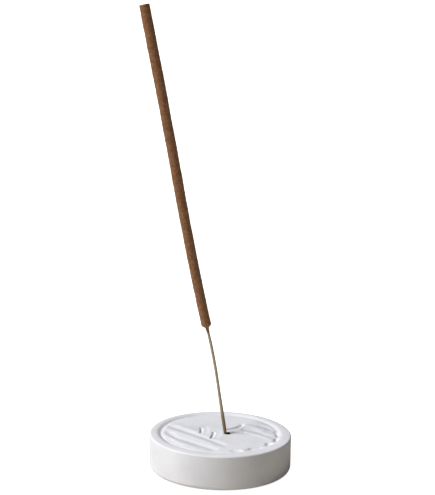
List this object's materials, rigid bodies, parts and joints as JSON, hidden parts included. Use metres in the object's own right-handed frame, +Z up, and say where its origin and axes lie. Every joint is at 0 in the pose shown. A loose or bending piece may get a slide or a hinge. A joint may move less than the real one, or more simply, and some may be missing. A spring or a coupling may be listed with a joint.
{
  "type": "incense burner",
  "caption": "Low round cast holder with a raked relief inside a ring groove, and a thick hand-rolled incense stick on a bamboo splint leaning in its small hole.",
  "frame": {"origin": "centre of the holder's underside, on the plane that its felt stands on", "axes": "+Z up, -Y towards the viewer, the stick leans towards -X"},
  "size_m": [0.0845, 0.076, 0.2472],
  "materials": {
    "cast_body": "matte, fine-grained, unglazed white casting",
    "felt": "pressed wool felt",
    "adhesive_film": "thin clear film",
    "bamboo": "raw split bamboo",
    "incense": "dry, granular hand-rolled paste"
  },
  "bodies": {
    "holder": {"holder_body": "cast_body", "base_felt": "felt", "felt_adhesive": "adhesive_film"},
    "incense_stick": {"bamboo_splint": "bamboo", "incense_paste": "incense"}
  },
  "joints": [
    {"name": "stick_lift", "type": "slide", "parent": "holder", "child": "incense_stick", "axis": [-0.1608, 0, 0.987], "range_m": [0, 0.04]}
  ]
}
